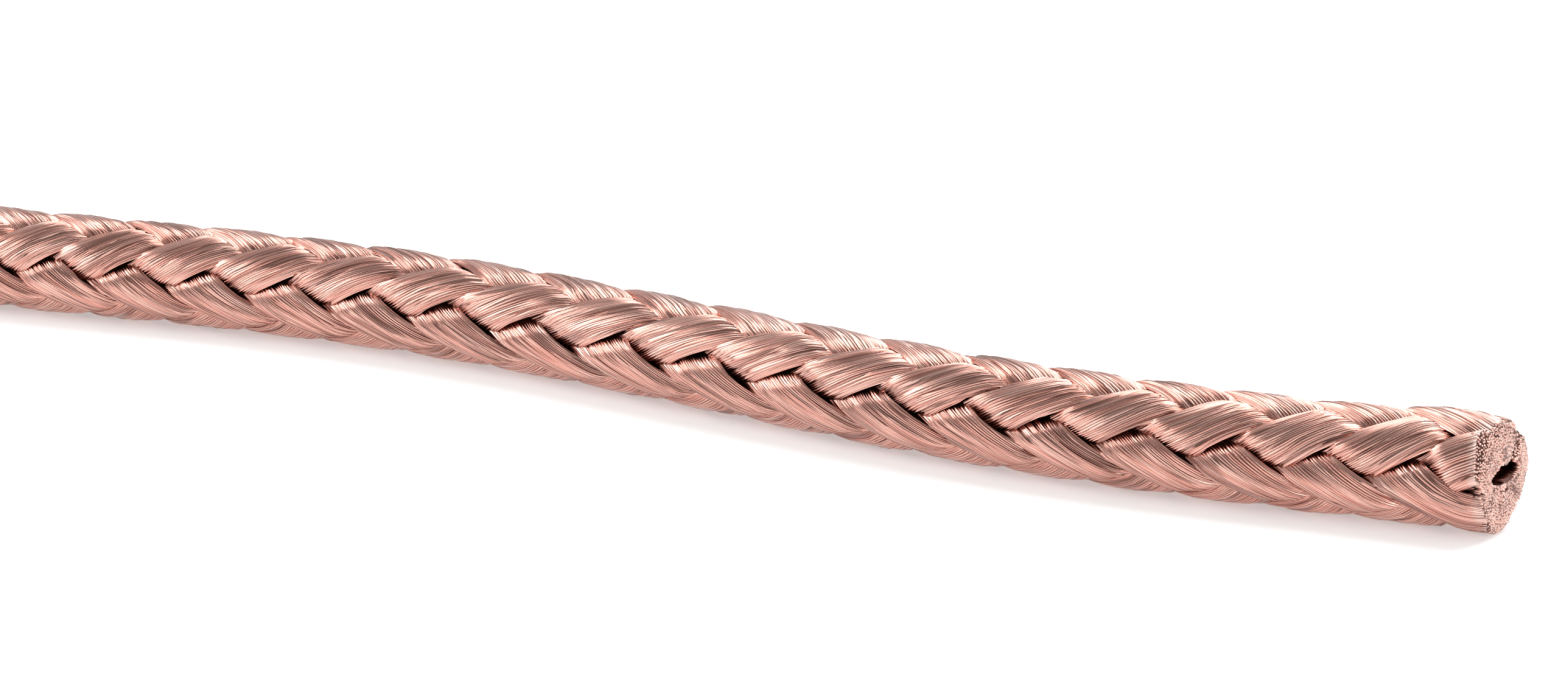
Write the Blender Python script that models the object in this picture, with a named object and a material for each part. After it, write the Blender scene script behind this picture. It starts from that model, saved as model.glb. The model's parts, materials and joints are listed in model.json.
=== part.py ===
"""Flexible busbar braid.

A bare copper conductor, plaited into a round tube from twelve flat bundles of
fine wire. Six bundles climb round the tube and six fall round it. Each passes
over two of the others and then under two, so the outside shows six rows of
slanting crowns. The tube has sagged to a narrow level slit inside. Both ends
are cut across, and the near one opens out a little and is cut slightly askew.
The braid lies on its side in a shallow S.

Units are metres, with +Z up. The braid runs along X, from the far end at -X to
the near end at +X, and stands on z = 0.
"""
import math

import bmesh
import bpy
import numpy as np
from mathutils import Vector

MM = 0.001

# Driving sizes
BRAID_DIAMETER = 14.0 * MM
BORE_WIDTH = 7.6 * MM
BORE_HEIGHT = 2.2 * MM
CLEARANCE = 0.36 * MM

# The weave, with the lowest row of crowns turned a little off the floor
STRANDS_EACH_WAY = 6
CROWN_PITCH = 13.0 * MM
LOWEST_ROW_TILT = math.radians(9)
WEAVE_START = -0.276

# The crowns are longer where the braid is pulled out near its middle
STRETCH = 0.117
STRETCH_CENTRE = 120.0 * MM
STRETCH_LENGTH = 210.0 * MM

# The wires straighten towards the cut at the near end
LOOSE_LENGTH = 9.0 * MM
LOOSE_SHARE = 0.45

# The tube opens out towards the cut at the near end, which is a little askew
FLARE = 0.065
FLARE_LENGTH = 24.0 * MM
NEAR_CUT_SKEW = math.radians(8)

# Where the middle of the braid lies on the floor, in mm from the far end to the near end
ROUTE = [
    (-124.2, -2.2), (-107.7, -0.2), (-91.1, 1.8), (-74.6, 4.1), (-58.0, 5.7), (-41.4, 6.2),
    (-24.8, 5.4), (-8.2, 3.5), (8.3, 1.0), (24.8, -1.7), (41.3, -4.2), (57.8, -5.8),
    (74.4, -6.2), (91.0, -5.4), (107.6, -3.8), (124.2, -2.4),
]

# Half outline of a bundle's section, as places across it and how full it is there
SECTION = [(-0.5, 0.0), (-0.36, 0.85), (0.0, 1.0), (0.36, 0.85), (0.5, 0.0)]

# A bundle goes over two and under two. It starts to dive here, counted from a crown's middle
CROSSINGS_PER_WAVE = 4.0
DIVE_START = 0.88

COPPER = (0.64, 0.31, 0.24)
ROUGHNESS = 0.38
ROUTE_STEP = 0.5 * MM
OVERRUN = 20.0 * MM

# Worked out from the sizes above
OUTER_RADIUS = BRAID_DIAMETER / 2
AXIS_HEIGHT = OUTER_RADIUS * math.cos(LOWEST_ROW_TILT)
ROW_STEP = math.pi / STRANDS_EACH_WAY
ROW_ANGLE = LOWEST_ROW_TILT - math.pi / 2 + 4 * ROW_STEP


def clear_scene():
    for item in list(bpy.data.objects):
        bpy.data.objects.remove(item, do_unlink=True)


def make_collection(name):
    collection = bpy.data.collections.new(name)
    bpy.context.scene.collection.children.link(collection)
    return collection


def make_copper(name, shade):
    """A bare copper finish, where shade makes one bundle a little lighter than the next."""
    material = bpy.data.materials.new(name)
    material.use_nodes = True
    shader = material.node_tree.nodes["Principled BSDF"]
    shader.inputs["Base Color"].default_value = [shade * part for part in COPPER] + [1.0]
    shader.inputs["Metallic"].default_value = 1.0
    shader.inputs["Roughness"].default_value = ROUGHNESS
    return material


def smooth_curve(points, step):
    """A natural cubic spline through the points, read a step apart."""
    knots = np.array(points) * MM
    spans = np.hypot(*np.diff(knots, axis=0).T)
    knots_at = np.concatenate([[0.0], np.cumsum(spans)])
    slopes = np.diff(knots, axis=0) / spans[:, None]
    matrix = np.eye(len(knots))
    change = np.zeros_like(knots)
    for i in range(1, len(knots) - 1):
        matrix[i, i - 1:i + 2] = spans[i - 1], 2.0 * (spans[i - 1] + spans[i]), spans[i]
        change[i] = 6.0 * (slopes[i] - slopes[i - 1])
    bends = np.linalg.solve(matrix, change)

    places = np.arange(0.0, knots_at[-1], step)
    span = np.clip(np.searchsorted(knots_at, places, side="right") - 1, 0, len(spans) - 1)
    width = spans[span][:, None]
    before = places[:, None] - knots_at[span][:, None]
    after = width - before
    curve = (
        (bends[span] * after**3 + bends[span + 1] * before**3) / (6.0 * width)
        + (knots[span] / width - bends[span] * width / 6.0) * after
        + (knots[span + 1] / width - bends[span + 1] * width / 6.0) * before
    )
    return np.vstack([curve, knots[-1]])


class Route:
    """The middle line of the braid, read by length from the far end."""

    def __init__(self):
        curve = smooth_curve(ROUTE, ROUTE_STEP)
        start = curve[0] - curve[1]
        finish = curve[-1] - curve[-2]
        before = curve[0] + start / np.hypot(*start) * OVERRUN
        after = curve[-1] + finish / np.hypot(*finish) * OVERRUN
        self.points = np.vstack([before, curve, after])
        steps = np.hypot(*np.diff(self.points, axis=0).T)
        self.along = np.concatenate([[0.0], np.cumsum(steps)]) - OVERRUN
        self.length = self.along[-1] - OVERRUN
        gradient = np.gradient(self.points, axis=0)
        self.heading = np.arctan2(gradient[:, 1], gradient[:, 0])

    def opening(self, along):
        """How much wider the tube is at a length along it."""
        share = np.clip((along - self.length + FLARE_LENGTH) / FLARE_LENGTH, 0.0, 1.0)
        return 1.0 + FLARE * share * share * (3.0 - 2.0 * share)

    def place(self, along, angle, radius):
        """World place at a length along the braid, and at an angle and radius round its middle.

        The angle is 0 on the side that faces -Y and a quarter turn at the top.
        """
        x = np.interp(along, self.along, self.points[:, 0])
        y = np.interp(along, self.along, self.points[:, 1])
        heading = np.interp(along, self.along, self.heading)
        opening = self.opening(along)
        side = opening * radius * math.cos(angle)
        return Vector((
            x + side * math.sin(heading),
            y - side * math.cos(heading),
            opening * (AXIS_HEIGHT + radius * math.sin(angle)),
        ))

    def direction(self, along, skew):
        heading = np.interp(along, self.along, self.heading) - skew
        return Vector((math.cos(heading), math.sin(heading), 0.0))


def crowns_passed(along, length):
    """Crowns of one row passed by a length along the braid."""
    wave = 2.0 * math.pi / STRETCH_LENGTH
    pulled = STRETCH / wave * np.sin(wave * (along - STRETCH_CENTRE))
    past = np.clip(along - (length - LOOSE_LENGTH), 0.0, None)
    within = np.minimum(past, LOOSE_LENGTH)
    straightened = LOOSE_SHARE * within * (past - within / 2.0) / LOOSE_LENGTH
    return WEAVE_START + (along - pulled - straightened) / CROWN_PITCH


def wall_radius(angle, depth):
    """Radius at a depth in the wall, from -1 at the hollow to 1 at the outside.

    Equal steps of depth hold equal shares of the wall's section.
    """
    across = math.cos(angle) / (BORE_WIDTH / 2)
    up = math.sin(angle) / (BORE_HEIGHT / 2)
    inner = 1.0 / (across**2 + up**2)
    outer = (OUTER_RADIUS + CLEARANCE / 2) ** 2
    return math.sqrt((outer + inner) / 2 + depth * (outer - inner) / 2)


def over_under(station):
    """1 where a bundle lies over the others, -1 where it lies under them, and a slope between."""
    half_wave = CROSSINGS_PER_WAVE / 2
    from_crown = abs((station + half_wave) % CROSSINGS_PER_WAVE - half_wave)
    return max(-1.0, min(1.0, (1.0 - from_crown) / (1.0 - DIVE_START)))


def bundle_shares():
    """How much of its own place in the weave a bundle fills, across it and through the wall."""
    middle = wall_radius(math.pi / 4, 0.0)
    climb = math.atan(middle * ROW_STEP / CROWN_PITCH)
    breadth = CROWN_PITCH * math.sin(climb)
    return 1.0 - CLEARANCE / breadth, 1.0 - CLEARANCE / (OUTER_RADIUS - middle)


def make_rings(number, rising, route):
    """Rings of places round a bundle, each slanting with the bundles that it crosses."""
    across_share, through_share = bundle_shares()
    lengths = np.arange(-OVERRUN, route.length + OVERRUN, ROUTE_STEP)
    counts = crowns_passed(lengths, route.length)
    outline = SECTION + [(across, -fullness) for across, fullness in SECTION[-2:0:-1]]
    half_wave = CROSSINGS_PER_WAVE / 2
    dives = [0.0, DIVE_START, half_wave - DIVE_START]
    stations = dives + [half_wave + dive for dive in dives]
    lean = 1 if rising else -1
    first_crown = number - (0.5 if rising else 1.5)
    waves_before = math.floor((counts[0] - number) * 2 / CROSSINGS_PER_WAVE) - 1
    waves_after = math.ceil((counts[-1] - number) * 2 / CROSSINGS_PER_WAVE) + 1

    rings = []
    for wave in range(waves_before, waves_after):
        for station in stations:
            crossing = first_crown + wave * CROSSINGS_PER_WAVE + station
            middle_count = (number + crossing + 0.5) / 2
            if not counts[0] < middle_count < counts[-1]:
                continue
            ring = []
            for across, fullness in outline:
                own = number + across * across_share
                along = np.interp((own + crossing + 0.5) / 2, counts, lengths)
                angle = ROW_ANGLE + (lean * (crossing - own) + 0.5) * ROW_STEP
                depth = (over_under(station) + fullness * through_share) / 2
                ring.append(route.place(along, angle, wall_radius(angle, depth)))
            rings.append(ring)
    return rings


def cut_ends(mesh, route):
    """Trims a bundle at both ends of the braid and closes the cuts."""
    for along, outward, skew in ((0.0, -1.0, 0.0), (route.length, 1.0, NEAR_CUT_SKEW)):
        cut = bmesh.ops.bisect_plane(
            mesh,
            geom=mesh.verts[:] + mesh.edges[:] + mesh.faces[:],
            dist=1e-7,
            plane_co=route.place(along, 0.0, 0.0),
            plane_no=route.direction(along, skew) * outward,
            clear_outer=True,
        )
        rim = [item for item in cut["geom_cut"] if isinstance(item, bmesh.types.BMEdge)]
        bmesh.ops.contextual_create(mesh, geom=rim)


def make_strand(name, number, rising, route, collection):
    """One flat bundle of wires, lofted along its winding path and cut at both ends."""
    mesh = bmesh.new()
    rings = [[mesh.verts.new(place) for place in ring] for ring in make_rings(number, rising, route)]
    for ring, following in zip(rings, rings[1:]):
        for i, vert in enumerate(ring):
            j = (i + 1) % len(ring)
            mesh.faces.new((vert, ring[j], following[j], following[i]))
    mesh.faces.new(rings[0])
    mesh.faces.new(rings[-1])
    cut_ends(mesh, route)
    bmesh.ops.triangulate(mesh, faces=mesh.faces[:])
    bmesh.ops.recalc_face_normals(mesh, faces=mesh.faces[:])

    data = bpy.data.meshes.new(name)
    mesh.to_mesh(data)
    mesh.free()
    strand = bpy.data.objects.new(name, data)
    collection.objects.link(strand)
    return strand


def build():
    clear_scene()
    collection = make_collection("flexible_busbar_braid")
    route = Route()
    for number in range(STRANDS_EACH_WAY):
        for way in ("rising", "falling"):
            name = f"{way}_strand_{number + 1}"
            strand = make_strand(name, number, way == "rising", route, collection)
            shade = 0.97 + 0.02 * (number % 3)
            strand.data.materials.append(make_copper(f"{name}_copper", shade))


build()
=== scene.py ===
"""Flexible busbar braid: the look of its twelve bundles of wire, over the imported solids.

Units are metres, with +Z up. The braid lies along X on z = 0, its near end at +X.

A place on a bundle is given by three numbers. own is the bundle's number plus the place across it,
from -0.5 to 0.5. crossing is the place along it, counted in the bundles that it crosses. depth is
the place through the wall, from -1 at the hollow to 1 at the outside.
"""
import json
import math

import bpy
import numpy as np
from mathutils import Vector
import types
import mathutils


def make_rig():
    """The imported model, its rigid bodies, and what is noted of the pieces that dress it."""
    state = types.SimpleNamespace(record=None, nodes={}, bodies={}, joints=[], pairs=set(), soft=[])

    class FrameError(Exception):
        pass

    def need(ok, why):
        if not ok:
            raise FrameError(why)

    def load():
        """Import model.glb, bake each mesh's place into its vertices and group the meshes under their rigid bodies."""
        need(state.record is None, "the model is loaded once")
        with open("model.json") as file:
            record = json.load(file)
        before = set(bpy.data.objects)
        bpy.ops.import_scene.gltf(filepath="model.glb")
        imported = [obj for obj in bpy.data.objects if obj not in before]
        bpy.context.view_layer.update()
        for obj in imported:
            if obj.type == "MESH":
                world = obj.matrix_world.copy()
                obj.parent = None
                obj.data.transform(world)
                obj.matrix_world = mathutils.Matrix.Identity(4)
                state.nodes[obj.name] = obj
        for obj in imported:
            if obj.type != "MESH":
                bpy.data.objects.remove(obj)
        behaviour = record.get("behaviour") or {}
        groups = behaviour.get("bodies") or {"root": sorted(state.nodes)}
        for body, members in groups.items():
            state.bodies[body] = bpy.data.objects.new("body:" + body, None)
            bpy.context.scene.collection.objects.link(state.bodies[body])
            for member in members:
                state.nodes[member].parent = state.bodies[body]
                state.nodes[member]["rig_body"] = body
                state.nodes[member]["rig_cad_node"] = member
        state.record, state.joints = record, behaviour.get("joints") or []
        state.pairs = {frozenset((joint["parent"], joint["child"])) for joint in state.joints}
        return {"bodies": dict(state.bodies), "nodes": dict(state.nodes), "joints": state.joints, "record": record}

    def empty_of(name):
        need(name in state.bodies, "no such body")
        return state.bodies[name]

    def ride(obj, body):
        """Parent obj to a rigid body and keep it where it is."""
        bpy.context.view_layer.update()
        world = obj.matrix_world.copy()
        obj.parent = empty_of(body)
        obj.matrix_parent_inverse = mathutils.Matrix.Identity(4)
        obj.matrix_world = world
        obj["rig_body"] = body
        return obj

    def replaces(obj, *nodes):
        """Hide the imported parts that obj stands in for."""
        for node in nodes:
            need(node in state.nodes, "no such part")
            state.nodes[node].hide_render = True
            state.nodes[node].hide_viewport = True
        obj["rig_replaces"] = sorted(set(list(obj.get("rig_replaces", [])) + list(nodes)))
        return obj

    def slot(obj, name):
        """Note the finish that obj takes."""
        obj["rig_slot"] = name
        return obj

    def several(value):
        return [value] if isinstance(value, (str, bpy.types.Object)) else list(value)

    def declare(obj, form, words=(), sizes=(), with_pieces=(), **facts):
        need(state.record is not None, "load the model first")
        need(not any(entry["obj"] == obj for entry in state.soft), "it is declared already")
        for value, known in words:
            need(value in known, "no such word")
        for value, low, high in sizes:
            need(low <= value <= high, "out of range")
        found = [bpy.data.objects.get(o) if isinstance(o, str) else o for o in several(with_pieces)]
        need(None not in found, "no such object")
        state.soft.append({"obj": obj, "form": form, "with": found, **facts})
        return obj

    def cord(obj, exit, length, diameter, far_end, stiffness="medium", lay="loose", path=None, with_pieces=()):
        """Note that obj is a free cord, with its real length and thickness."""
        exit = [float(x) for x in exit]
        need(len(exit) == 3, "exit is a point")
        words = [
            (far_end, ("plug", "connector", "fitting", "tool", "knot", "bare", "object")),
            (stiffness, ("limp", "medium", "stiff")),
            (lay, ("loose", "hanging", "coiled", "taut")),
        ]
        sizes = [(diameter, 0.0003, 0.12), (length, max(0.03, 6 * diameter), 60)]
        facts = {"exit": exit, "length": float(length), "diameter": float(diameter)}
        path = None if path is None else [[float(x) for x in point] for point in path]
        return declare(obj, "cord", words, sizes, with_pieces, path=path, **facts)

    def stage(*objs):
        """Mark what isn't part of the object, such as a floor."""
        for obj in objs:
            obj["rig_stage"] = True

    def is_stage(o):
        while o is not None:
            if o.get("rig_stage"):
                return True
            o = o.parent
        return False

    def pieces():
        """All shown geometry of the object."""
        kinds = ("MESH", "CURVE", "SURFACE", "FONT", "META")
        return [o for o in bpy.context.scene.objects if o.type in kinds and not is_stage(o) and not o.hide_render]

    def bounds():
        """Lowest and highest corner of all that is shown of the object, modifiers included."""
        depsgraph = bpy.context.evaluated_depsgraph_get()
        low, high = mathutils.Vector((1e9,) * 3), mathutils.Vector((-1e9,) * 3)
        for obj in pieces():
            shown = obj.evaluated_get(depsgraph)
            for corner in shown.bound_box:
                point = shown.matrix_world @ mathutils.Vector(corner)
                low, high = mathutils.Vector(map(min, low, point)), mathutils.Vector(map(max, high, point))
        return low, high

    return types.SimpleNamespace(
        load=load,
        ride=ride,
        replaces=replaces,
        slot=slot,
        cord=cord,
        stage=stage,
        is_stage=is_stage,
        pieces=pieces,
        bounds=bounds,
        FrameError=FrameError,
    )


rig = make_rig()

MM = 0.001

# The braid's sizes, as in the solids
BRAID_DIAMETER = 14.0 * MM
BORE_WIDTH = 7.6 * MM
BORE_HEIGHT = 2.2 * MM
STRANDS_EACH_WAY = 6
CROWN_PITCH = 13.0 * MM
LOWEST_ROW_TILT = math.radians(9)
WEAVE_START = -0.276
STRETCH = 0.117
STRETCH_CENTRE = 120.0 * MM
STRETCH_LENGTH = 210.0 * MM
LOOSE_LENGTH = 9.0 * MM
LOOSE_SHARE = 0.45
FLARE = 0.065
FLARE_LENGTH = 24.0 * MM
NEAR_CUT_SKEW = math.radians(8)
ROUTE = [
    (-124.2, -2.2), (-107.7, -0.2), (-91.1, 1.8), (-74.6, 4.1), (-58.0, 5.7), (-41.4, 6.2),
    (-24.8, 5.4), (-8.2, 3.5), (8.3, 1.0), (24.8, -1.7), (41.3, -4.2), (57.8, -5.8),
    (74.4, -6.2), (91.0, -5.4), (107.6, -3.8), (124.2, -2.4),
]
ROUTE_STEP = 0.5 * MM
OVERRUN = 20.0 * MM
OUTER_RADIUS = BRAID_DIAMETER / 2
AXIS_HEIGHT = OUTER_RADIUS * math.cos(LOWEST_ROW_TILT)
ROW_STEP = math.pi / STRANDS_EACH_WAY
ROW_ANGLE = LOWEST_ROW_TILT - math.pi / 2 + 4 * ROW_STEP
CROSSINGS_PER_WAVE = 4.0

# How finely a bundle is drawn. Its outer face shows this many wires, with a few points on each
SHOWN_WIRES = 28
POINTS_PER_WIRE = 3
INNER_POINTS = 11
RINGS_OVER = 30
RINGS_UNDER = 8
OUTLINE_STEPS = 2000

# Lengths along a bundle, in crossings: how far it shows to each side of a crown, how near a ring
# comes to a cut, the ends that lean towards a cut, and the end that squares up to the near one
OVER_SPAN = 1.25
RING_CLEARANCE = 0.05
LEANING_SPAN = 1.5
SQUARING_SPAN = 1.0

# How a bundle is shaped. A section is a power and a roundness. A share is how much of its own
# place in the weave the bundle's breadth takes, at a crown's middle and MIDDLE_SPAN away from it
BREADTH = 3.55 * MM
HALF_THICKNESS = 0.95 * MM
SECTION = (2.8, 0.55)
CUT_SECTION = (6.0, 0.5)
MIDDLE_SHARE = 1.04
END_SHARE = 1.15
MIDDLE_SPAN = 1.15
DIVE_STEEPNESS = 3.2
EARLY_DIVE = 0.25
LATE_END = 0.86

# The relief of the wires. Their ridges and gaps grow by SPREAD towards a crown's ends
RIDGE_HEIGHT = 0.075 * MM
UNEVENNESS = 0.075 * MM
LUMP_HEIGHT = 0.06 * MM
STREAK_HEIGHT = 0.05 * MM
GROOVE_DEPTH = 0.18 * MM
GAP_DEPTH = 0.30 * MM
VALLEY_WIDTH = 0.25
SPREAD = 0.9
SPREAD_RANGE = (0.45, 0.95)

# How far the wires wander across a bundle, in shares of its breadth, less and less at its edges
WANDER_SIZE = 0.045
RIPPLE_SIZE = 0.014
EDGE_POWER = 4

# Smooth random fields. Each has its seed, then its scale and start across a bundle and along it.
# The cut wires have a seed of their own
FIELD_SIZE = (64, 256)
WANDER = (100, (4, 10), (0.8, 0))
RIPPLE = (100, (13, 20), (2.6, 40))
LUMPS = (200, (3, 10), (1.3, 0))
STREAKS = (250, (11, 30), (1.1, 0))
UNEVEN = (300, (3.7, 0), (1.4, 0))
GROOVES = (400, (14, 20), (0.8, 0))
GAPS = (450, (5.3, 0), (1.2, 0))
TONES = (500, (3.0, 0), (1.1, 0))
PATCHES = (600, (5, 20), (2.5, 20))
TIP_SEED = 700

# Where in its field a groove or a gap starts and where it is full
GROOVE_RANGE = (0.2, 0.65)
GAP_RANGE = (-0.4, 0.5)

# How much shade is painted into a valley between wires, into grooves and into gaps. The wires are burred
# near a cut, from none to fully over this range of crossings
VALLEY_SHADE = 0.7
GROOVE_SHADE = 0.5
GAP_SHADE = 0.75
BURR_RANGE = (0.16, 0.03)

# The marks that the copper reads at each point: lightness, painted shade, burr and opacity
MARKS = "wires"
# The caps on the cuts are painted fully in shade, behind the cut wires
CAP_MARKS = (0.5, 1.0, 0.0, 1.0)

# The cut wires. They stand on rings that shrink by these shares, and keep inside TIP_EDGE of the
# bundle's section. Below OPEN_DEPTH, most of those past it are drawn too. TIP_REACH is the wall's
# thickness in bundles' thicknesses
CAP_SHARES = (0.96, 0.75, 0.5, 0.25)
TIP_SPACING = 0.25 * MM
TIP_RADIUS = 0.145 * MM
TIP_SIDES = 5
TIP_DEPTH = 1.0 * MM
TALLEST_TIP = 0.14 * MM
TIP_REACH = 2.2
TIP_EDGE = 0.97
TIP_SLANT = 0.5
FULL_SPIN = 6.3
ACROSS_JITTER = 0.02
DEPTH_JITTER = 0.04
OPEN_DEPTH = 0.5
MISSING_SHARE = 0.3

# How much shade is painted on the cut wires, in patches, and the least painted shade at their feet and the least of
# their burr
PATCH_SWING = 1.3
PATCH_SHIFT = 0.3
PATCH_JITTER = 0.3
DARKEST_TIP = 0.9
FOOT_SHADE = 0.6
LEAST_BURR = 0.2

# The near cut's rim is rounded over, most of all at the top, and split at the back
RIM_ROUNDING = 0.6 * MM
RIM_POWER = 3
TOP_ROUNDING = 1.8 * MM
SPLIT_DEPTH = 2.6 * MM
SPLIT_ANGLE = math.radians(141)
SPLIT_WIDTH = math.radians(7)
CUT_ROUNDS = 6

# The flat map of a bundle: its surface's share of the height, and the rows of cells above that.
# A cell holds one cap, or a cut wire's sides as a strip with its foot and its top above them
SURFACE_SHARE = 0.92
CELL_ROWS = 4
CELL_FILL = 0.94
CAP_MIDDLE = (0.5, 0.5)
CAP_RADIUS = 0.45
STRIP_HEIGHT = 0.45
FOOT_MIDDLE = (0.25, 0.75)
TOP_MIDDLE = (0.75, 0.75)
TIP_FACE_RADIUS = 0.2

# Copper where it is dull, bright, stained, in painted shade deep in grooves, and freshly cut
DULL_COPPER = (0.87, 0.37, 0.285)
BRIGHT_COPPER = (1.0, 0.61, 0.51)
STAINED_COPPER = (0.62, 0.27, 0.20)
# Painted shade: the colour towards which valleys, grooves, gaps, inner faces, caps and cut wires are darkened
PAINTED_SHADE_COPPER = (0.16, 0.05, 0.033)
CUT_COPPER = (1.0, 0.69, 0.60)

# The copper's finish. A noise is its scale and detail
STAIN_NOISE = (90.0, 3.0)
STAIN_RANGE = (0.35, 0.75)
STAIN_STRENGTH = 0.35
ROUGHNESS_NOISE = (400.0, 2.0)
ROUGHNESS_RANGE = (0.18, 0.32)
BURR_ROUGHNESS = 0.25
BUMP_NOISE = (2500.0, 2.0)
BUMP_STRENGTH = 0.12
BUMP_DISTANCE = 0.05 * MM
COAT_WEIGHT = 1.0
COAT_ROUGHNESS = 0.2

# The camera, at the photograph's viewing angle
CAMERA_PLACE = (0.35278, -0.61007, 0.19641)
CAMERA_AZIMUTH = math.radians(28.43)
CAMERA_ELEVATION = math.radians(15.0)
CAMERA_LENS = 125.78
SENSOR_WIDTH = 36.0
NEAREST_SEEN = 0.01
FARTHEST_SEEN = 50.0

# The studio: its floor, which glows white for the camera and in reflections, and its pale side,
# with how far towards that side a direction is and how strong the world is there
FLOOR_HALF = 6.0
FLOOR_HEIGHT = -0.3 * MM
FLOOR_COLOUR = (0.8, 0.8, 0.8)
FLOOR_ROUGHNESS = 0.9
FLOOR_GLOW = 0.38
WHITE = (1.0, 1.0, 1.0)
PALE_SIDE = (-0.25, 0.85, 0.46)
WORLD_RANGE = (-0.6, 0.7)
WORLD_STRENGTH = (0.22, 0.60)

# The lamps, all aimed at one point: the name, place, size and power of each
LAMPS_AIM = (0.0, 0.0, 0.0)
LAMPS = [
    ("back_softbox", (-0.06, 0.70, 0.93), (1.10, 1.35), 11.5),
    ("high_softbox", (0.30, 0.30, 0.70), (0.3, 0.3), 1.5),
    ("left_softbox", (-0.62, -0.27, 0.36), (0.5, 0.45), 2.6),
    ("right_softbox", (0.90, -0.52, 0.38), (0.55, 0.5), 3.1),
]

UP = np.array((0.0, 0.0, 1.0))
TINY = 1e-6


def smooth_step(low, high, value):
    """0 at low and 1 at high, with an even slope between."""
    share = np.clip((value - low) / (high - low), 0.0, 1.0)
    return share * share * (3.0 - 2.0 * share)


def smooth_curve(points, step):
    """A natural cubic spline through the points, read a step apart."""
    knots = np.array(points) * MM
    spans = np.hypot(*np.diff(knots, axis=0).T)
    knots_at = np.concatenate([[0.0], np.cumsum(spans)])
    slopes = np.diff(knots, axis=0) / spans[:, None]
    matrix = np.eye(len(knots))
    change = np.zeros_like(knots)
    for i in range(1, len(knots) - 1):
        matrix[i, i - 1:i + 2] = spans[i - 1], 2.0 * (spans[i - 1] + spans[i]), spans[i]
        change[i] = 6.0 * (slopes[i] - slopes[i - 1])
    bends = np.linalg.solve(matrix, change)

    places = np.arange(0.0, knots_at[-1], step)
    span = np.clip(np.searchsorted(knots_at, places, side="right") - 1, 0, len(spans) - 1)
    width = spans[span][:, None]
    before = places[:, None] - knots_at[span][:, None]
    after = width - before
    curve = (
        (bends[span] * after**3 + bends[span + 1] * before**3) / (6.0 * width)
        + (knots[span] / width - bends[span] * width / 6.0) * after
        + (knots[span + 1] / width - bends[span + 1] * width / 6.0) * before
    )
    return np.vstack([curve, knots[-1]])


class Route:
    """The middle line of the braid, read by length from the far end."""

    def __init__(self):
        curve = smooth_curve(ROUTE, ROUTE_STEP)
        start = curve[0] - curve[1]
        finish = curve[-1] - curve[-2]
        before = curve[0] + start / np.hypot(*start) * OVERRUN
        after = curve[-1] + finish / np.hypot(*finish) * OVERRUN
        self.points = np.vstack([before, curve, after])
        steps = np.hypot(*np.diff(self.points, axis=0).T)
        self.along = np.concatenate([[0.0], np.cumsum(steps)]) - OVERRUN
        self.length = self.along[-1] - OVERRUN
        gradient = np.gradient(self.points, axis=0)
        self.heading = np.arctan2(gradient[:, 1], gradient[:, 0])

    def opening(self, along):
        """How much wider the tube is at a length along it."""
        return 1.0 + FLARE * smooth_step(self.length - FLARE_LENGTH, self.length, along)

    def place(self, along, angle, radius):
        """Places at lengths along the braid, and at angles and radii round its middle."""
        x = np.interp(along, self.along, self.points[:, 0])
        y = np.interp(along, self.along, self.points[:, 1])
        heading = np.interp(along, self.along, self.heading)
        opening = self.opening(along)
        side = opening * radius * np.cos(angle)
        return np.stack([
            x + side * np.sin(heading),
            y - side * np.cos(heading),
            opening * (AXIS_HEIGHT + radius * np.sin(angle)),
        ], axis=-1)

    def cut_direction(self, near):
        """The way that a cut faces."""
        heading = np.interp(self.length if near else 0.0, self.along, self.heading)
        turned = heading - NEAR_CUT_SKEW if near else heading + math.pi
        return np.array([math.cos(turned), math.sin(turned), 0.0])


def crowns_passed(along, length):
    """Crowns of one row passed by a length along the braid."""
    wave = 2.0 * math.pi / STRETCH_LENGTH
    pulled = STRETCH / wave * np.sin(wave * (along - STRETCH_CENTRE))
    past = np.clip(along - (length - LOOSE_LENGTH), 0.0, None)
    within = np.minimum(past, LOOSE_LENGTH)
    straightened = LOOSE_SHARE * within * (past - within / 2.0) / LOOSE_LENGTH
    return WEAVE_START + (along - pulled - straightened) / CROWN_PITCH


def wall_radius(angle, depth):
    """Radius at a depth in the wall, where equal steps of depth hold equal shares of its section."""
    across = np.cos(angle) / (BORE_WIDTH / 2)
    up = np.sin(angle) / (BORE_HEIGHT / 2)
    inner = 1.0 / (across**2 + up**2)
    outer = OUTER_RADIUS**2
    return np.sqrt((outer + inner) / 2 + depth * (outer - inner) / 2)


class Drift:
    """A smooth random field over a bundle, from -1 to 1, the same on every run."""

    def __init__(self, bundle_seed, field):
        seed, self.across, self.along = field
        self.values = np.random.RandomState(bundle_seed + seed).uniform(-1.0, 1.0, FIELD_SIZE)

    def at(self, across, along):
        """The field's values between its corners, at places across the bundle and along it."""
        rows = across * self.across[0] + self.across[1]
        columns = along * self.along[0] + self.along[1]
        rows, columns = np.broadcast_arrays(rows, columns)
        low_row = np.floor(rows).astype(int)
        low_column = np.floor(columns).astype(int)
        row_share = smooth_step(0.0, 1.0, rows - low_row)
        column_share = smooth_step(0.0, 1.0, columns - low_column)
        total = 0.0
        for row, row_weight in enumerate((1.0 - row_share, row_share)):
            for column, column_weight in enumerate((1.0 - column_share, column_share)):
                corner = (low_row + row) % FIELD_SIZE[0], (low_column + column) % FIELD_SIZE[1]
                total = total + row_weight * column_weight * self.values[corner]
        return total


def section_fullness(across, section=SECTION):
    """How much of its thickness a bundle has at a place across it, from -0.5 to 0.5."""
    power, roundness = section
    return np.maximum(1.0 - np.abs(2 * across) ** power, 0.0) ** roundness


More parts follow.
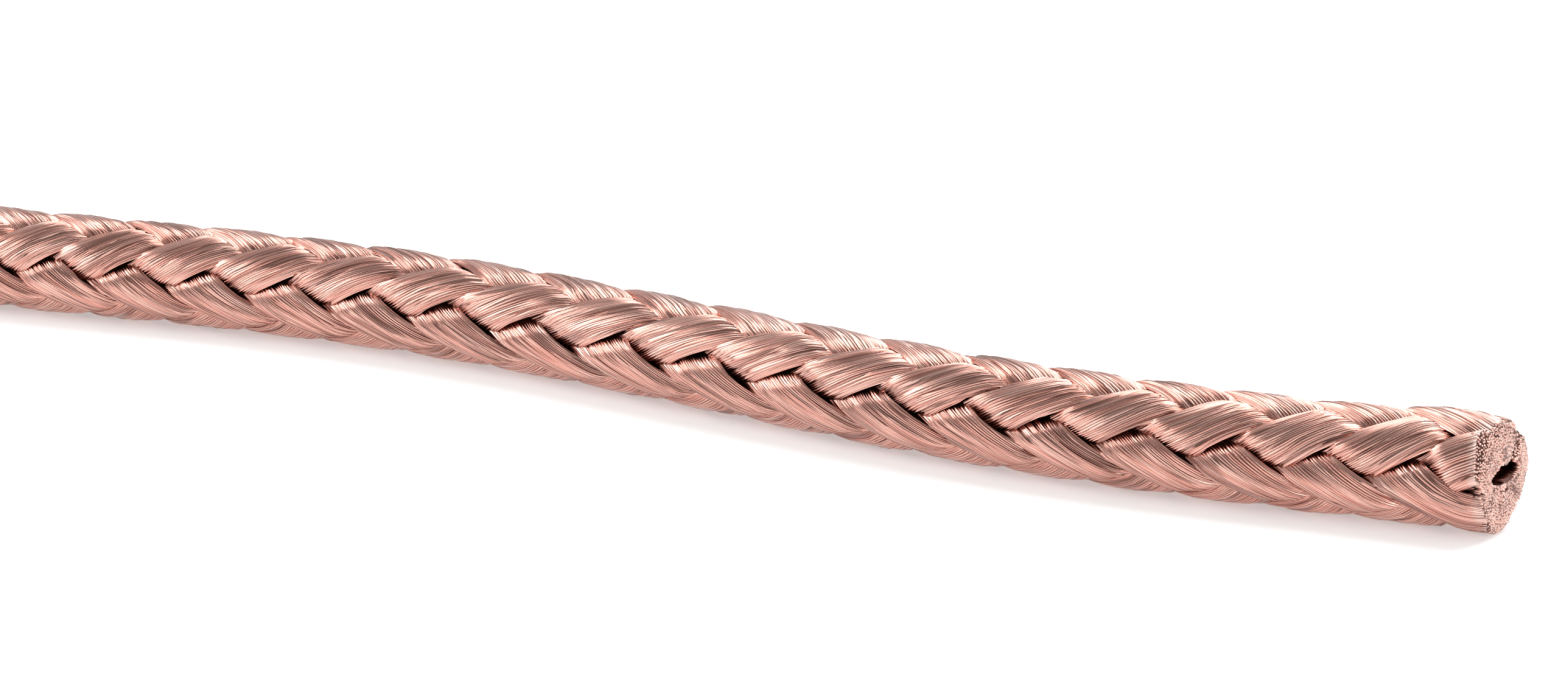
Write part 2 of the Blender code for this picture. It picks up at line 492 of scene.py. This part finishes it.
def section_outline():
    """A bundle's half outline: places across it, how full it is there, and its outward slant.

    The points are an equal length apart, so that the wires are all as wide.
    """
    across = -0.5 * np.cos(np.linspace(0.0, math.pi, OUTLINE_STEPS + 1))
    wide = across * BREADTH
    high = section_fullness(across) * HALF_THICKNESS
    passed = np.concatenate([[0.0], np.cumsum(np.hypot(np.diff(wide), np.diff(high)))])
    share = np.linspace(0.0, passed[-1], SHOWN_WIRES * POINTS_PER_WIRE + 1)
    wide = np.interp(share, passed, wide)
    high = np.interp(share, passed, high)
    slope_wide = np.gradient(wide)
    slope_high = np.gradient(high)
    size = np.hypot(slope_wide, slope_high)
    return wide / BREADTH, high / HALF_THICKNESS, -slope_high / size, slope_wide / size


def wire_profile(count):
    """For points on the half outline: the wire, the height on it, the nearest valley, how far in it."""
    wires = np.linspace(0.0, SHOWN_WIRES, count)
    wire = np.floor(wires - TINY)
    ridge = np.sqrt(np.maximum(1.0 - (2.0 * (wires % 1.0) - 1.0) ** 2, 0.0))
    valley = np.round(wires)
    in_valley = np.maximum(1.0 - np.abs(wires - valley) / VALLEY_WIDTH, 0.0)
    return wire, ridge, valley, in_valley


def stations_between(start, finish):
    """Crossings at which a bundle gets a ring, close together where it shows."""
    over = np.linspace(-OVER_SPAN, OVER_SPAN, RINGS_OVER, endpoint=False)
    under = np.linspace(OVER_SPAN, CROSSINGS_PER_WAVE - OVER_SPAN, RINGS_UNDER, endpoint=False)
    first = math.floor(start / CROSSINGS_PER_WAVE) - 1
    last = math.ceil(finish / CROSSINGS_PER_WAVE) + 1
    waves = np.arange(first, last + 1) * CROSSINGS_PER_WAVE
    stations = (waves[:, None] + np.concatenate([over, under])).ravel()
    inside = (stations > start + RING_CLEARANCE) & (stations < finish - RING_CLEARANCE)
    return np.concatenate([[start], stations[inside], [finish]])


def over_under(station):
    """1 over the others and -1 under them, with a rounded dive between, and how far the crown is."""
    half_wave = CROSSINGS_PER_WAVE / 2
    past_crown = (station + half_wave) % CROSSINGS_PER_WAVE - half_wave
    from_crown = np.abs(past_crown)
    late = np.where(past_crown > 0, LATE_END, 1.0)
    swing = np.cos(from_crown * late * math.pi / 2) - EARLY_DIVE
    highest = math.tanh(DIVE_STEEPNESS * (1.0 - EARLY_DIVE))
    return np.tanh(DIVE_STEEPNESS * swing) / highest, from_crown


class Bundle:
    """One flat bundle of wires along its winding path."""

    def __init__(self, number, rising, route):
        self.number = number
        self.lean = 1 if rising else -1
        self.route = route
        self.seed = number * 2 + (0 if rising else 1)
        self.first_crown = number - (0.5 if rising else 1.5)
        self.lengths = np.arange(-OVERRUN, route.length + OVERRUN, ROUTE_STEP)
        self.counts = crowns_passed(self.lengths, route.length)
        self.start = self.crossing_at(0.0, number)
        self.finish = self.crossing_at(route.length, number)

    def crossing_at(self, along, own):
        """The crossing that a place across the bundle has at a length along the braid."""
        return 2 * np.interp(along, self.lengths, self.counts) - 0.5 - own

    def angle(self, own, crossing):
        """The angle round the braid, which a rising and a falling bundle turn opposite ways."""
        return ROW_ANGLE + (self.lean * (crossing - own) + 0.5) * ROW_STEP

    def place(self, own, crossing, depth):
        """World places on the bundle."""
        along = np.interp((own + crossing + 0.5) / 2, self.counts, self.lengths)
        angle = self.angle(own, crossing)
        return self.route.place(along, angle, wall_radius(angle, depth))

    def drift(self, field, across, along):
        """One of the random fields, read for this bundle."""
        return Drift(self.seed, field).at(across, along)

    def cut_back(self, angle, depth):
        """How much shorter than the flat cut a wire is at the near end."""
        outside = np.clip(0.5 + 0.5 * depth, 0.0, 1.0) ** RIM_POWER
        rounding = RIM_ROUNDING + TOP_ROUNDING * np.maximum(np.sin(angle), 0.0) ** 2
        turned = (angle - SPLIT_ANGLE + math.pi) % (2 * math.pi) - math.pi
        return outside * rounding + SPLIT_DEPTH * np.exp(-(turned / SPLIT_WIDTH) ** 2)

    def cut_crossing(self, own, depth, near):
        """The crossing at which a wire meets a cut, found in a few rounds at the near one."""
        if not near:
            return self.start - (own - self.number)
        crossing = self.finish - (own - self.number)
        for _ in range(CUT_ROUNDS):
            angle = self.angle(own, crossing)
            side = wall_radius(angle, depth) * np.cos(angle) * (1.0 + FLARE)
            flat_cut = self.route.length - side * math.tan(NEAR_CUT_SKEW)
            crossing = self.crossing_at(flat_cut - self.cut_back(angle, depth), own)
        return crossing

    def cap(self, own, depth, near):
        """Smaller and smaller rings on a cut, which the cut wires stand on."""
        rings = []
        for share in CAP_SHARES:
            ring_own = own.mean() + (own - own.mean()) * share
            ring_depth = depth.mean() + (depth - depth.mean()) * share
            crossing = self.cut_crossing(ring_own, ring_depth, near)
            rings.append(self.place(ring_own, crossing, ring_depth))
        return rings

    def fullness(self, across, plain, middle):
        """A section's fullness ring by ring: plain along the bundle, and squarer at the near cut."""
        near_cut = smooth_step(self.finish - SQUARING_SPAN, self.finish, middle)
        return plain + near_cut * (section_fullness(across, CUT_SECTION) - plain)

    def wander(self, across, middle):
        """How far the wires lie from their even places: in a slow wander, and in a finer ripple."""
        held = 1 - np.abs(2 * across) ** EDGE_POWER
        wander = WANDER_SIZE * self.drift(WANDER, across, middle) * held
        return wander, RIPPLE_SIZE * self.drift(RIPPLE, across, middle) * held

    def relief(self, across, middle, from_crown):
        """How far the surface stands off its plain section, and how much shade is painted into its valleys, grooves
        and gaps.
        """
        wire, ridge, valley, in_valley = wire_profile(len(across))
        uneven = self.drift(UNEVEN, wire, middle)
        lumps = self.drift(LUMPS, across, middle)
        streaks = self.drift(STREAKS, across, middle)
        grooves = smooth_step(*GROOVE_RANGE, self.drift(GROOVES, across, middle))
        gaps = smooth_step(*GAP_RANGE, self.drift(GAPS, valley, middle)) * in_valley
        spread = 1.0 + SPREAD * smooth_step(*SPREAD_RANGE, from_crown)
        lift = ridge * spread * (RIDGE_HEIGHT + UNEVENNESS * uneven) + LUMP_HEIGHT * lumps
        lift = lift + STREAK_HEIGHT * streaks - GROOVE_DEPTH * grooves - GAP_DEPTH * spread * gaps
        # Painted shade, darker in the valleys between wires, in grooves and in gaps
        shade = (1.0 - ridge) * VALLEY_SHADE * spread + GROOVE_SHADE * grooves + GAP_SHADE * gaps
        return lift, np.clip(shade, 0.0, 1.0)

    def rings(self):
        """Places on the bundle's surface, ring by ring, with the marks there."""
        across, fullness, out_across, out_depth = section_outline()
        inner = np.linspace(0.5, -0.5, INNER_POINTS + 2)[1:-1]
        middle = stations_between(self.start, self.finish)[:, None]
        wave, from_crown = over_under(middle - self.first_crown)
        share = END_SHARE + (MIDDLE_SHARE - END_SHARE) * smooth_step(MIDDLE_SPAN, 0.0, from_crown)

        wander, ripple = self.wander(across, middle)
        lift, painted_shade = self.relief(across, middle, from_crown)
        outer_own = across * share + wander + ripple + out_across * lift / BREADTH
        outer_depth = (wave + self.fullness(across, fullness, middle)) / 2
        outer_depth = outer_depth + out_depth * lift / (2 * HALF_THICKNESS)
        inner_depth = (wave - self.fullness(inner, section_fullness(inner), middle)) / 2
        own = self.number + np.hstack([outer_own, inner * share])
        depth = np.hstack([outer_depth, inner_depth])

        to_start = smooth_step(self.start + LEANING_SPAN, self.start, middle)
        to_finish = smooth_step(self.finish - LEANING_SPAN, self.finish, middle)
        crossing = middle + to_start * (self.cut_crossing(own, depth, False) - self.start)
        crossing = crossing + to_finish * (self.cut_crossing(own, depth, True) - self.finish)
        start_cap = self.cap(own[0], depth[0], False)[::-1]
        finish_cap = self.cap(own[-1], depth[-1], True)
        places = np.concatenate([start_cap, self.place(own, crossing, depth), finish_cap])
        return places, self.ring_marks(middle, painted_shade)

    def ring_marks(self, middle, painted_shade):
        """The marks on the rings, and on those of the caps. The inner face is painted fully in shade."""
        wire, *_ = wire_profile(painted_shade.shape[1])
        inner = np.zeros((len(middle), INNER_POINTS))
        tone = np.hstack([self.drift(TONES, wire, middle), inner])
        from_cut = np.minimum(middle - self.start, self.finish - middle)
        marks = np.ones((*tone.shape, 4))
        marks[..., 0] = 0.5 + 0.5 * tone
        # Painted shade: the valleys, grooves and gaps of the outer face, and all of the inner face
        marks[..., 1] = np.hstack([painted_shade, inner + 1.0])
        marks[..., 2] = smooth_step(*BURR_RANGE, from_cut)
        cap_marks = np.broadcast_to(CAP_MARKS, (len(CAP_SHARES), *marks.shape[1:]))
        return np.concatenate([cap_marks, marks, cap_marks])

    def tips(self, random):
        """The cut wires at both ends: place, direction, how far each stands out and how much shade is painted on it.
        """
        found = []
        patches = Drift(self.seed, PATCHES)
        rows = int(2 * TIP_REACH * HALF_THICKNESS / TIP_SPACING)
        columns = int(BREADTH / TIP_SPACING)
        for near in (False, True):
            direction = self.route.cut_direction(near)
            end = self.finish if near else self.start
            wave, _ = over_under(end - self.first_crown)
            for row in range(rows):
                for column in range(columns):
                    across = (column + 0.5 + 0.5 * (row % 2)) / columns - 0.5
                    across += random.uniform(-ACROSS_JITTER, ACROSS_JITTER)
                    depth = (row + 0.5) / rows * 2 - 1
                    depth += random.uniform(-DEPTH_JITTER, DEPTH_JITTER)
                    edge = TIP_EDGE * section_fullness(across, CUT_SECTION)
                    past_edge = abs(2 * depth - wave) >= edge
                    if past_edge and (depth > OPEN_DEPTH or random.uniform() < MISSING_SHARE):
                        continue
                    depth = min(depth, TIP_EDGE)
                    own = self.number + across
                    place = self.place(own, self.cut_crossing(own, depth, near), depth)
                    # Patches of painted shade over the cut face
                    painted_tip_shade = PATCH_SWING * float(patches.at(across, depth)) - PATCH_SHIFT
                    painted_tip_shade += random.uniform(-PATCH_JITTER, PATCH_JITTER)
                    painted_tip_shade = min(max(painted_tip_shade, 0.0), DARKEST_TIP)
                    height = random.uniform(0.0, TALLEST_TIP)
                    found.append((place, direction, height, painted_tip_shade))
        return found


def turns(count):
    """Angles an equal step apart round a circle."""
    return np.arange(count) / count * 2 * math.pi


def make_tip(place, direction, height, painted_tip_shade, random):
    """One cut wire: its low and high ring of places, and the marks there."""
    side = np.cross(direction, UP)
    turn = turns(TIP_SIDES) + random.uniform(0.0, FULL_SPIN)
    round_it = TIP_RADIUS * (np.cos(turn)[:, None] * side + np.sin(turn)[:, None] * UP)
    slant = random.uniform(-TIP_SLANT, TIP_SLANT, 2)
    rise = (round_it @ side * slant[0] + round_it @ UP * slant[1])[:, None] * direction
    low = place + round_it - direction * TIP_DEPTH
    high = place + round_it + direction * height + rise

    burr = random.uniform(LEAST_BURR, 1.0)
    tone = random.uniform(-1, 1)
    marks = np.ones((2 * TIP_SIDES, 4))
    marks[:, 0] = 0.5 + 0.5 * tone
    # Painted shade, heavier at the foot of each cut wire, low between its neighbours
    marks[:TIP_SIDES, 1] = FOOT_SHADE + (1.0 - FOOT_SHADE) * painted_tip_shade
    marks[TIP_SIDES:, 1] = painted_tip_shade
    marks[:, 2] = burr
    return np.vstack([low, high]), marks


def tip_faces(first):
    """Faces of a cut wire, from its first point: its sides, its foot and its top."""
    low = first + np.arange(TIP_SIDES)
    high = low + TIP_SIDES
    sides = np.stack([low, np.roll(low, -1), np.roll(high, -1), high], axis=-1)
    return sides.tolist() + [low[::-1].tolist(), high.tolist()]


def tube_faces(rings, points):
    """Quads of a closed tube of rings, wound to face outwards, with its two caps."""
    ring = np.arange(rings - 1)[:, None] * points
    point = np.arange(points)[None, :]
    after = (point + 1) % points
    quads = np.stack([ring + point, ring + points + point, ring + points + after, ring + after], axis=-1)
    faces = quads.reshape(-1, 4).tolist()
    faces.append(list(range(points)))
    faces.append(list(range((rings - 1) * points, rings * points))[::-1])
    return faces


def circle(count, middle, radius):
    """Corners of a face laid on a circle."""
    turn = turns(count)
    return np.stack([middle[0] + radius * np.cos(turn), middle[1] + radius * np.sin(turn)], axis=-1)


def flat_map(rings, points, tips):
    """The faces' corners on a flat map: the surface as a grid, then a cell for each cap and cut wire."""
    ring, point = np.meshgrid(np.arange(rings - 1), np.arange(points), indexing="ij")
    along = np.stack([ring, ring + 1, ring + 1, ring], axis=-1) / (rings - 1)
    round_it = np.stack([point, point, point + 1, point + 1], axis=-1) / points * SURFACE_SHARE
    corners = [np.stack([along, round_it], axis=-1).reshape(-1, 2)]

    side = np.arange(TIP_SIDES)
    side_along = np.stack([side, side + 1, side + 1, side], axis=-1) / TIP_SIDES
    side_up = np.tile([0.0, 0.0, STRIP_HEIGHT, STRIP_HEIGHT], (TIP_SIDES, 1))
    tip = np.vstack([
        np.stack([side_along, side_up], axis=-1).reshape(-1, 2),
        circle(TIP_SIDES, FOOT_MIDDLE, TIP_FACE_RADIUS)[::-1],
        circle(TIP_SIDES, TOP_MIDDLE, TIP_FACE_RADIUS),
    ])
    cap = circle(points, CAP_MIDDLE, CAP_RADIUS)
    shapes = [cap, cap] + [tip] * tips
    columns = math.ceil(len(shapes) / CELL_ROWS)
    size = np.array([1.0 / columns, (1.0 - SURFACE_SHARE) / CELL_ROWS])
    for cell, shape in enumerate(shapes):
        place = np.array([cell % columns, cell // columns]) * size + [0.0, SURFACE_SHARE]
        corners.append(place + (shape * CELL_FILL + (1 - CELL_FILL) / 2) * size)
    return np.vstack(corners)


def make_bundle(name, number, rising, route, material):
    """A bundle's mesh: its surface of wires, and the cut wires at both ends."""
    bundle = Bundle(number, rising, route)
    ring_places, ring_marks = bundle.rings()
    rings, points, _ = ring_places.shape
    places = [ring_places.reshape(-1, 3)]
    marks = [ring_marks.reshape(-1, 4)]
    faces = tube_faces(rings, points)
    random = np.random.RandomState(bundle.seed + TIP_SEED)
    tips = bundle.tips(random)
    for count, tip in enumerate(tips):
        tip_places, tip_marks = make_tip(*tip, random)
        places.append(tip_places)
        marks.append(tip_marks)
        faces += tip_faces(rings * points + count * 2 * TIP_SIDES)

    data = bpy.data.meshes.new(name)
    data.from_pydata(np.vstack(places).tolist(), [], faces)
    data.update()
    colours = data.color_attributes.new(MARKS, "FLOAT_COLOR", "POINT")
    colours.data.foreach_set("color", np.vstack(marks).ravel())
    data.polygons.foreach_set("use_smooth", [True] * len(data.polygons))
    uv_map = data.uv_layers.new(name="OFBake")
    uv_map.data.foreach_set("uv", flat_map(rings, points, len(tips)).ravel())
    data.materials.append(material)
    return add_object(name, data)


def add_object(name, data):
    obj = bpy.data.objects.new(name, data)
    bpy.context.scene.collection.objects.link(obj)
    return obj


class Nodes:
    """The nodes of a material or a world, with short ways to add, fill and link them."""

    def __init__(self, owner):
        owner.use_nodes = True
        self.nodes = owner.node_tree.nodes
        self.links = owner.node_tree.links

    def fill(self, node, inputs):
        """Sets the inputs of a node, or links those that come from another node."""
        for name, value in inputs.items():
            socket = node.inputs[name]
            if isinstance(value, bpy.types.NodeSocket):
                self.links.new(value, socket)
            elif socket.type == "RGBA":
                socket.default_value = (*value, 1.0)
            else:
                socket.default_value = value

    def blend(self, factor, low, high):
        """One colour where the factor is 0, and another where it is 1."""
        mix = self.nodes.new("ShaderNodeMix")
        mix.data_type = "RGBA"
        self.fill(mix, {"Factor": factor, "A": low, "B": high})
        return mix.outputs["Result"]

    def noise(self, scale, detail):
        """Noise in the object's own metres."""
        place = self.nodes.new("ShaderNodeTexCoord").outputs["Object"]
        texture = self.nodes.new("ShaderNodeTexNoise")
        self.fill(texture, {"Scale": scale, "Detail": detail, "Vector": place})
        return texture.outputs["Fac"]

    def map_range(self, value, given, wanted):
        """The value, with the given range stretched to the wanted one."""
        ranges = {"From Min": given[0], "From Max": given[1], "To Min": wanted[0], "To Max": wanted[1]}
        node = self.nodes.new("ShaderNodeMapRange")
        self.fill(node, {"Value": value, **ranges})
        return node.outputs["Result"]

    def calculate(self, operation, *values):
        """The outcome of one sum, such as MAXIMUM or MULTIPLY."""
        node = self.nodes.new("ShaderNodeMath")
        node.operation = operation
        self.fill(node, dict(enumerate(values)))
        return node.outputs["Value"]


def make_copper():
    """Bare copper wire: its lightness, the shade painted in its grooves and its cut ends come with the wires."""
    material = bpy.data.materials.new("bare_copper_wire")
    tree = Nodes(material)
    wires = tree.nodes.new("ShaderNodeAttribute")
    wires.attribute_name = MARKS
    split = tree.nodes.new("ShaderNodeSeparateColor")
    tree.fill(split, {"Color": wires.outputs["Color"]})
    tone = split.outputs["Red"]
    painted_shade = split.outputs["Green"]
    burr = split.outputs["Blue"]

    stain = tree.map_range(tree.noise(*STAIN_NOISE), STAIN_RANGE, (0.0, STAIN_STRENGTH))
    colour = tree.blend(tone, DULL_COPPER, BRIGHT_COPPER)
    colour = tree.blend(stain, colour, STAINED_COPPER)
    colour = tree.blend(burr, colour, CUT_COPPER)
    # Painted shade: the copper is darkened towards the shade colour where the wires' marks ask for it
    colour = tree.blend(painted_shade, colour, PAINTED_SHADE_COPPER)
    rough = tree.map_range(tree.noise(*ROUGHNESS_NOISE), (0.0, 1.0), ROUGHNESS_RANGE)
    bump = tree.nodes.new("ShaderNodeBump")
    tree.fill(bump, {
        "Strength": BUMP_STRENGTH,
        "Distance": BUMP_DISTANCE,
        "Height": tree.noise(*BUMP_NOISE),
    })
    tree.fill(tree.nodes["Principled BSDF"], {
        "Base Color": colour,
        "Metallic": 1.0,
        "Roughness": tree.calculate("MULTIPLY_ADD", burr, BURR_ROUGHNESS, rough),
        "Coat Weight": COAT_WEIGHT,
        "Coat Roughness": COAT_ROUGHNESS,
        "Normal": bump.outputs["Normal"],
    })
    return material


def make_pale_floor():
    """The floor's finish, which keeps shadows and glows only for the camera and in reflections."""
    material = bpy.data.materials.new("pale_floor")
    tree = Nodes(material)
    path = tree.nodes.new("ShaderNodeLightPath").outputs
    seen = tree.calculate("MAXIMUM", path["Is Camera Ray"], path["Is Glossy Ray"])
    seen = tree.calculate("MAXIMUM", seen, path["Is Transmission Ray"])
    tree.fill(tree.nodes["Principled BSDF"], {
        "Base Color": FLOOR_COLOUR,
        "Roughness": FLOOR_ROUGHNESS,
        "Specular IOR Level": 0.0,
        "Emission Color": WHITE,
        "Emission Strength": tree.calculate("MULTIPLY", seen, FLOOR_GLOW),
    })
    return material


def make_floor():
    data = bpy.data.meshes.new("floor")
    corners = [(-1, -1), (1, -1), (1, 1), (-1, 1)]
    places = [(x * FLOOR_HALF, y * FLOOR_HALF, FLOOR_HEIGHT) for x, y in corners]
    data.from_pydata(places, [], [(0, 1, 2, 3)])
    data.materials.append(make_pale_floor())
    floor = add_object("floor", data)
    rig.stage(floor)


def aim(obj, direction):
    """Turns a camera or lamp to look in a direction, with its top up."""
    obj.rotation_mode = "QUATERNION"
    obj.rotation_quaternion = Vector(direction).to_track_quat("-Z", "Y")


def make_camera():
    data = bpy.data.cameras.new("photo_camera")
    data.sensor_width = SENSOR_WIDTH
    data.lens = CAMERA_LENS
    data.clip_start = NEAREST_SEEN
    data.clip_end = FARTHEST_SEEN
    camera = add_object("photo_camera", data)
    camera.location = CAMERA_PLACE
    level = math.cos(CAMERA_ELEVATION)
    aim(camera, (
        -math.sin(CAMERA_AZIMUTH) * level,
        math.cos(CAMERA_AZIMUTH) * level,
        -math.sin(CAMERA_ELEVATION),
    ))
    bpy.context.scene.camera = camera


def make_lamp(name, place, size, power):
    data = bpy.data.lights.new(name, "AREA")
    data.shape = "RECTANGLE"
    data.size, data.size_y = size
    data.energy = power
    lamp = add_object(name, data)
    lamp.location = place
    lamp.visible_camera = False
    aim(lamp, Vector(LAMPS_AIM) - Vector(place))


def make_world():
    """A plain studio, pale behind the object and dimmer on the camera's side."""
    world = bpy.data.worlds.new("studio")
    tree = Nodes(world)
    towards = tree.nodes.new("ShaderNodeVectorMath")
    towards.operation = "DOT_PRODUCT"
    place = tree.nodes.new("ShaderNodeTexCoord").outputs["Generated"]
    tree.fill(towards, {0: place, 1: PALE_SIDE})
    strength = tree.map_range(towards.outputs["Value"], WORLD_RANGE, WORLD_STRENGTH)
    tree.fill(tree.nodes["Background"], {"Color": WHITE, "Strength": strength})
    bpy.context.scene.world = world


def main():
    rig.load()
    cad_low, cad_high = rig.bounds()
    scene = bpy.context.scene
    scene.view_settings.view_transform = "Standard"
    make_camera()
    make_world()
    make_floor()
    for lamp in LAMPS:
        make_lamp(*lamp)

    route = Route()
    copper = make_copper()
    bundles = []
    for number in range(STRANDS_EACH_WAY):
        for way in ("rising", "falling"):
            node = f"{way}_strand_{number + 1}"
            bundle = make_bundle(f"wires_of_{node}", number, way == "rising", route, copper)
            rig.ride(bundle, "root")
            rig.replaces(bundle, node)
            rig.slot(bundle, "bare_copper")
            bundles.append(bundle)

    line = [(x * MM, y * MM, AXIS_HEIGHT) for x, y in ROUTE]
    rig.cord(
        bundles[0],
        exit=line[-1],
        length=route.length,
        diameter=BRAID_DIAMETER,
        far_end="bare",
        stiffness="stiff",
        lay="loose",
        path=line[::-1],
        with_pieces=bundles[1:],
    )

    low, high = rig.bounds()
    with open("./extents.json", "w") as file:
        json.dump({
            "cad": [list(cad_low), list(cad_high)],
            "visual": [list(low), list(high)],
        }, file)


main()
